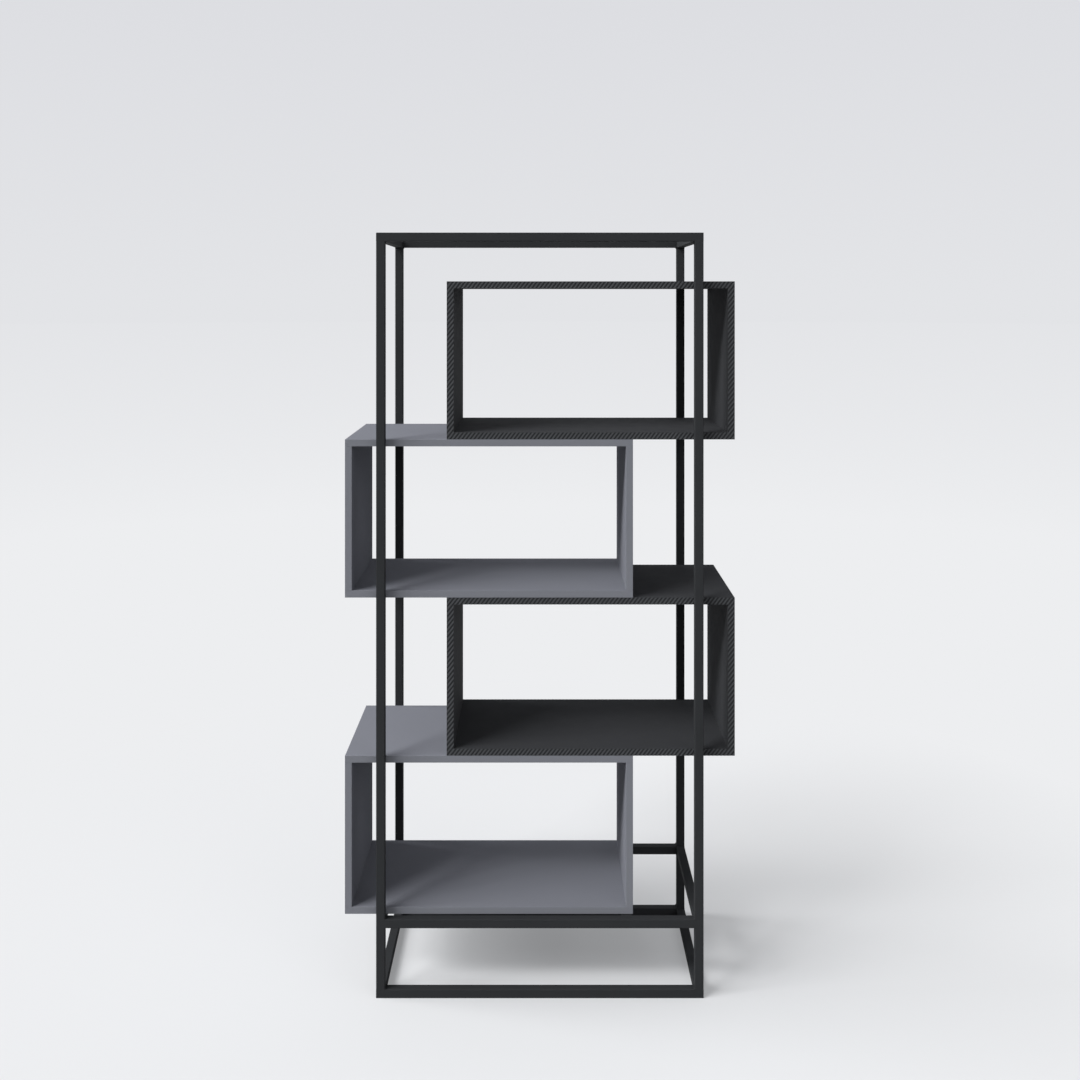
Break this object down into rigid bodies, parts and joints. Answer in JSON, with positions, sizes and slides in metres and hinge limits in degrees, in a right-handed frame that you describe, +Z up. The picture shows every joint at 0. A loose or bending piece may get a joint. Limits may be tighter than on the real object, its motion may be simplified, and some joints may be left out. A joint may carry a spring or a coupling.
{
  "type": "bookshelf",
  "caption": "Open bookshelf: a slim square-tube frame holds a stack of open boxes that shift left and right in turn, making shelves inside and beside them.",
  "frame": {"origin": "on the floor under the middle of the frame", "axes": "+Z up, -Y towards the front that the picture shows, +X to the right as seen from the front"},
  "size_m": [0.9, 0.37, 1.753],
  "materials": {
    "frame_coat": "fine-textured matt black powder coat on steel tube",
    "grey_board": "matt blue-grey coated board",
    "grey_band": "smooth matt grey edge band",
    "black_board": "matt graphite coated board",
    "black_band": "graphite edge band with a fine diagonal rib",
    "tongue_wood": "plain birch plywood",
    "screw_steel": "black zinc-plated steel",
    "pad_felt": "thin black felt"
  },
  "bodies": {
    "root": {"base_front_rail": "frame_coat", "base_left_rail": "frame_coat", "base_rear_rail": "frame_coat", "base_right_rail": "frame_coat", "front_left_post": "frame_coat", "front_right_post": "frame_coat", "lower_black_bottom_edge_bands": "black_band", "lower_black_bottom_panel": "black_board", "lower_black_left_edge_bands": "black_band", "lower_black_left_panel": "black_board", "lower_black_right_edge_bands": "black_band", "lower_black_right_panel": "black_board", "lower_black_tongues": "tongue_wood", "lower_black_top_edge_bands": "black_band", "lower_black_top_panel": "black_board", "lower_grey_bottom_edge_bands": "grey_band", "lower_grey_bottom_panel": "grey_board", "lower_grey_left_edge_bands": "grey_band", "lower_grey_left_panel": "grey_board", "lower_grey_right_edge_bands": "grey_band", "lower_grey_right_panel": "grey_board", "lower_grey_tongues": "tongue_wood", "lower_grey_top_edge_bands": "grey_band", "lower_grey_top_panel": "grey_board", "mid_cross_rail": "frame_coat", "mid_front_rail": "frame_coat", "mid_left_rail": "frame_coat", "mid_rear_rail": "frame_coat", "mid_right_rail": "frame_coat", "post_screws": "screw_steel", "rail_pads": "pad_felt", "rear_left_post": "frame_coat", "rear_right_post": "frame_coat", "stack_screws": "screw_steel", "top_front_rail": "frame_coat", "top_left_rail": "frame_coat", "top_rear_rail": "frame_coat", "top_right_rail": "frame_coat", "upper_black_bottom_edge_bands": "black_band", "upper_black_bottom_panel": "black_board", "upper_black_left_edge_bands": "black_band", "upper_black_left_panel": "black_board", "upper_black_right_edge_bands": "black_band", "upper_black_right_panel": "black_board", "upper_black_tongues": "tongue_wood", "upper_black_top_edge_bands": "black_band", "upper_black_top_panel": "black_board", "upper_grey_bottom_edge_bands": "grey_band", "upper_grey_bottom_panel": "grey_board", "upper_grey_left_edge_bands": "grey_band", "upper_grey_left_panel": "grey_board", "upper_grey_right_edge_bands": "grey_band", "upper_grey_right_panel": "grey_board", "upper_grey_tongues": "tongue_wood", "upper_grey_top_edge_bands": "grey_band", "upper_grey_top_panel": "grey_board"}
  },
  "joints": []
}
